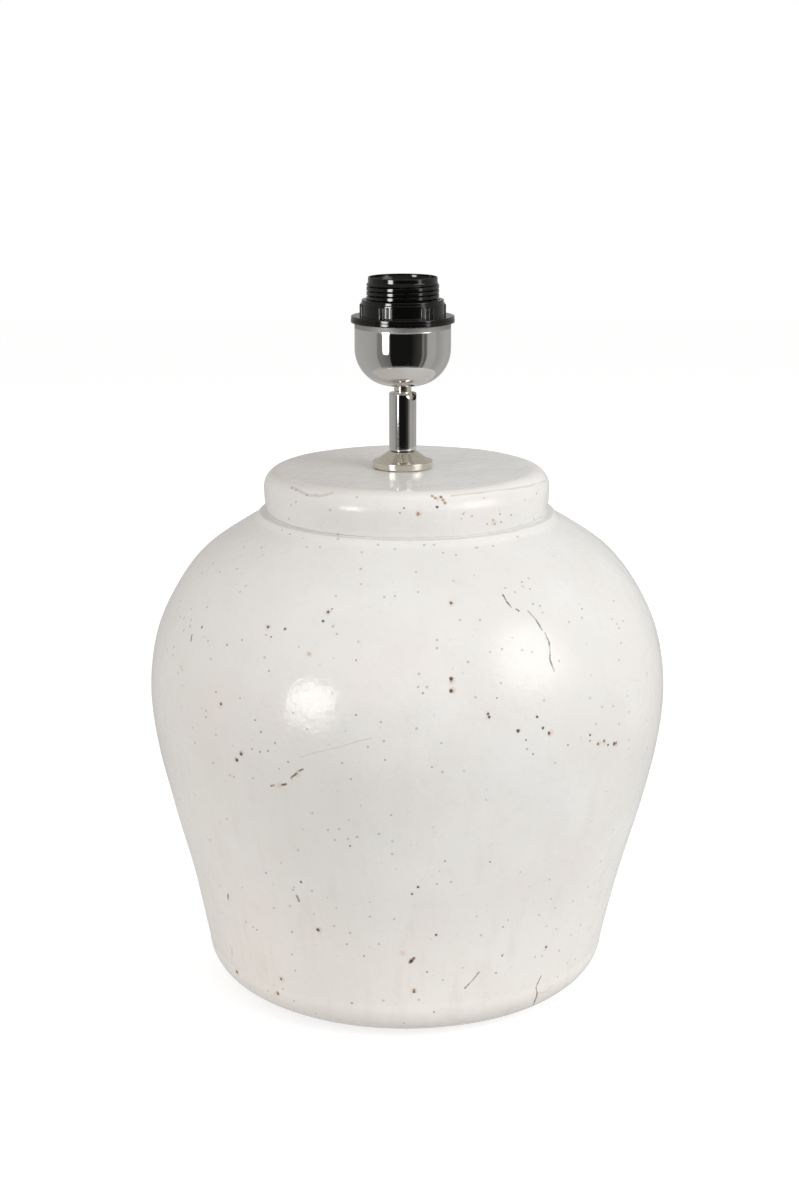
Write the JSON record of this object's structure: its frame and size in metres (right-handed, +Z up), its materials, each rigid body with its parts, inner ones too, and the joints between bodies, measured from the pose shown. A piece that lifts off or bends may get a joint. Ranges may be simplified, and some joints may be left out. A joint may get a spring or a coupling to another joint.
{
  "type": "table lamp base",
  "caption": "Jar-shaped glazed ceramic table lamp base with a chrome ball joint on its flat top and a threaded lampholder with a shade ring.",
  "frame": {"origin": "middle of the base on the surface it stands on", "axes": "+Z up along the jar's axis; -Y is the side seen in the picture, +Y has the cable outlet; the joint's slot opens between +X and -Y"},
  "size_m": [0.2904, 0.2904, 0.403],
  "materials": {
    "glaze": "glossy white glaze with fine pinholes",
    "felt": "grey felt",
    "bush": "black bush",
    "chrome": "polished",
    "nickel": "bright nickel, warm",
    "zinc": "zinc plated",
    "fibre": "vulcanised fibre",
    "resin": "black moulded resin",
    "steatite": "unglazed",
    "brass": "bright stamped brass",
    "nylon": "white nylon"
  },
  "bodies": {
    "base": {"ceramic_body": "glaze", "felt_pad_1": "felt", "felt_pad_2": "felt", "felt_pad_3": "felt", "felt_pad_4": "felt", "cable_grommet": "bush", "threaded_rod": "zinc", "fibre_washer": "fibre", "steel_washer": "zinc", "lock_nut": "zinc", "rosette": "nickel", "joint_housing": "chrome", "ball_seat": "nylon", "joint_spring": "zinc"},
    "ball_stud": {"ball_stud": "nickel"},
    "lampholder": {"cup": "chrome", "holder_cap": "resin", "cap_grub_screw": "zinc", "contact_block": "steatite", "screw_shell": "brass", "centre_contact": "brass", "contact_screw": "zinc", "live_terminal": "brass", "live_terminal_screw": "zinc", "neutral_terminal": "brass", "neutral_terminal_screw": "zinc", "outer_sleeve": "resin"},
    "shade_ring": {"shade_ring": "resin"}
  },
  "joints": [
    {"name": "joint_tilt", "type": "hinge", "parent": "base", "child": "ball_stud", "pos_m": [0, 0, 0.3354], "axis": [0.6018, 0.7986, 0], "range_deg": [0, 45]},
    {"name": "holder_turn", "type": "hinge", "parent": "ball_stud", "child": "lampholder", "pos_m": [0, 0, 0.3354], "axis": [0, 0, 1], "range_deg": [-165, 165]},
    {"name": "shade_ring_travel", "type": "slide", "parent": "lampholder", "child": "shade_ring", "axis": [0, 0, 1], "range_m": [0, 0.012]}
  ]
}
